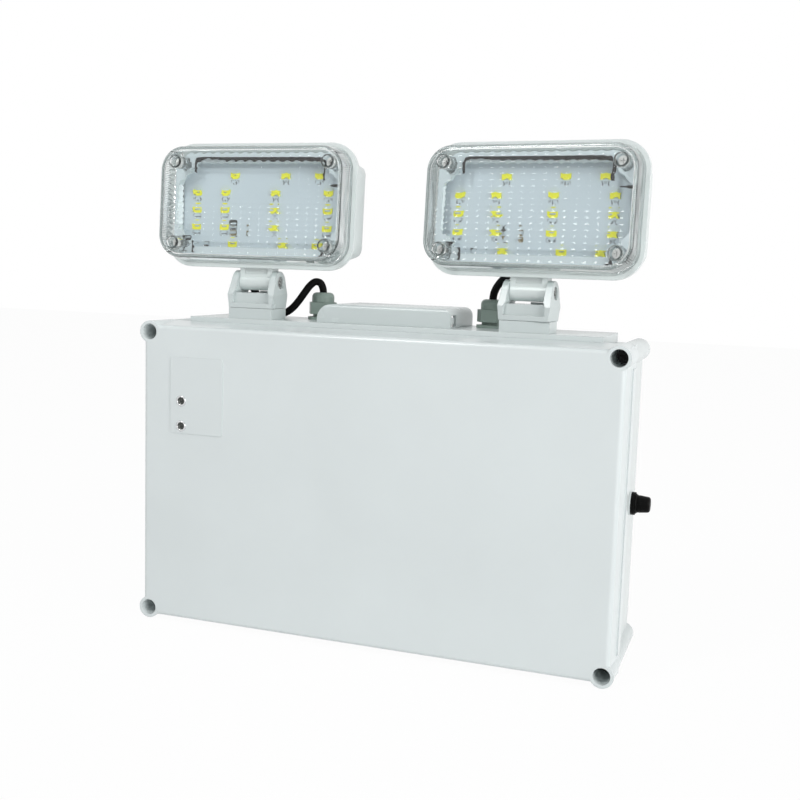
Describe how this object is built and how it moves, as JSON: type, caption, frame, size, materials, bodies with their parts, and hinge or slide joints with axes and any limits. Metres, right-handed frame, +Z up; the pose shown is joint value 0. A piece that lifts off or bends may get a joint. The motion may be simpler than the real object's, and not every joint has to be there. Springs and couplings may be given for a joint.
{
  "type": "twin head emergency light",
  "caption": "Wall-mounted emergency light: a pale plastic battery case with two clear-fronted lamp heads that swivel and tilt on top, cable glands and a push-to-test button.",
  "frame": {"origin": "middle of the four wall fixing holes, on the flat back of the case", "axes": "+Y into the wall, +Z up, +X to the viewer's right"},
  "size_m": [0.2982, 0.0801, 0.2888],
  "materials": {
    "case_plastic": "gloss",
    "head_plastic": "gloss",
    "clear_plastic": "gloss",
    "gland_plastic": "satin",
    "black_rubber": "satin",
    "seal_rubber": "matte",
    "screw_steel": "satin",
    "button_plastic": "satin",
    "label_film": "satin",
    "indicator_chrome": "gloss",
    "indicator_lens": "gloss",
    "battery_case": "satin",
    "terminal_brass": "satin",
    "board_green": "satin",
    "winding_tape": "satin",
    "capacitor_sleeve": "gloss",
    "terminal_plastic": "satin",
    "board_white": "satin",
    "reflector_white": "gloss",
    "led_phosphor": "satin"
  },
  "bodies": {
    "case": {"back_box": "case_plastic", "front_cover": "case_plastic", "cable_hood": "case_plastic", "left_pedestal": "case_plastic", "right_pedestal": "case_plastic", "left_gland_body": "gland_plastic", "left_gland_cap": "gland_plastic", "left_gland_locknut": "gland_plastic", "right_gland_body": "gland_plastic", "right_gland_cap": "gland_plastic", "right_gland_locknut": "gland_plastic", "left_lead_lower": "black_rubber", "right_lead_lower": "black_rubber", "cover_gasket": "seal_rubber", "entry_grommet": "seal_rubber", "cover_screws": "screw_steel", "strap_screws": "screw_steel", "board_screws": "screw_steel", "battery_strap": "screw_steel", "button_bezel": "button_plastic", "button_nut": "button_plastic", "switch_body": "button_plastic", "info_label": "label_film", "indicator_bezels": "indicator_chrome", "indicator_leds": "indicator_lens", "battery": "battery_case", "battery_terminals": "terminal_brass", "charger_board": "board_green", "mains_transformer": "winding_tape", "charger_capacitors": "capacitor_sleeve", "terminal_block": "terminal_plastic"},
    "left_swivel": {"left_yoke": "case_plastic", "left_swivel_screw": "screw_steel", "left_pivot_bolt": "screw_steel", "left_pivot_nut": "screw_steel", "left_lead_upper": "black_rubber"},
    "left_head": {"left_head_housing": "head_plastic", "left_head_gasket": "seal_rubber", "left_lens": "clear_plastic", "left_lens_screws": "screw_steel", "left_reflector": "reflector_white", "left_led_board": "board_white", "left_led_chips": "led_phosphor", "left_head_grommet": "seal_rubber"},
    "right_swivel": {"right_yoke": "case_plastic", "right_swivel_screw": "screw_steel", "right_pivot_bolt": "screw_steel", "right_pivot_nut": "screw_steel", "right_lead_upper": "black_rubber"},
    "right_head": {"right_head_housing": "head_plastic", "right_head_gasket": "seal_rubber", "right_lens": "clear_plastic", "right_lens_screws": "screw_steel", "right_reflector": "reflector_white", "right_led_board": "board_white", "right_led_chips": "led_phosphor", "right_head_grommet": "seal_rubber"},
    "push_button": {"test_button": "button_plastic"}
  },
  "joints": [
    {"name": "left_turn", "type": "hinge", "parent": "case", "child": "left_swivel", "pos_m": [-0.0856, -0.04225, 0.0999], "axis": [0, 0, 1], "range_deg": [-45, 45], "deforming": ["left_lead_lower"]},
    {"name": "left_tilt", "type": "hinge", "parent": "left_swivel", "child": "left_head", "pos_m": [-0.0856, -0.04105, 0.1154], "axis": [1, 0, 0], "range_deg": [-11, 48], "deforming": ["left_lead_upper"]},
    {"name": "right_turn", "type": "hinge", "parent": "case", "child": "right_swivel", "pos_m": [0.0822, -0.04225, 0.0999], "axis": [0, 0, 1], "range_deg": [-40, 50], "deforming": ["right_lead_lower"]},
    {"name": "right_tilt", "type": "hinge", "parent": "right_swivel", "child": "right_head", "pos_m": [0.08231, -0.04106, 0.1154], "axis": [0.9962, -0.0872, 0], "range_deg": [-11, 48], "deforming": ["right_lead_upper"]},
    {"name": "button_push", "type": "slide", "parent": "case", "child": "push_button", "axis": [-1, 0, 0], "range_m": [0, 0.0025], "stiffness_N_per_m": 800}
  ]
}
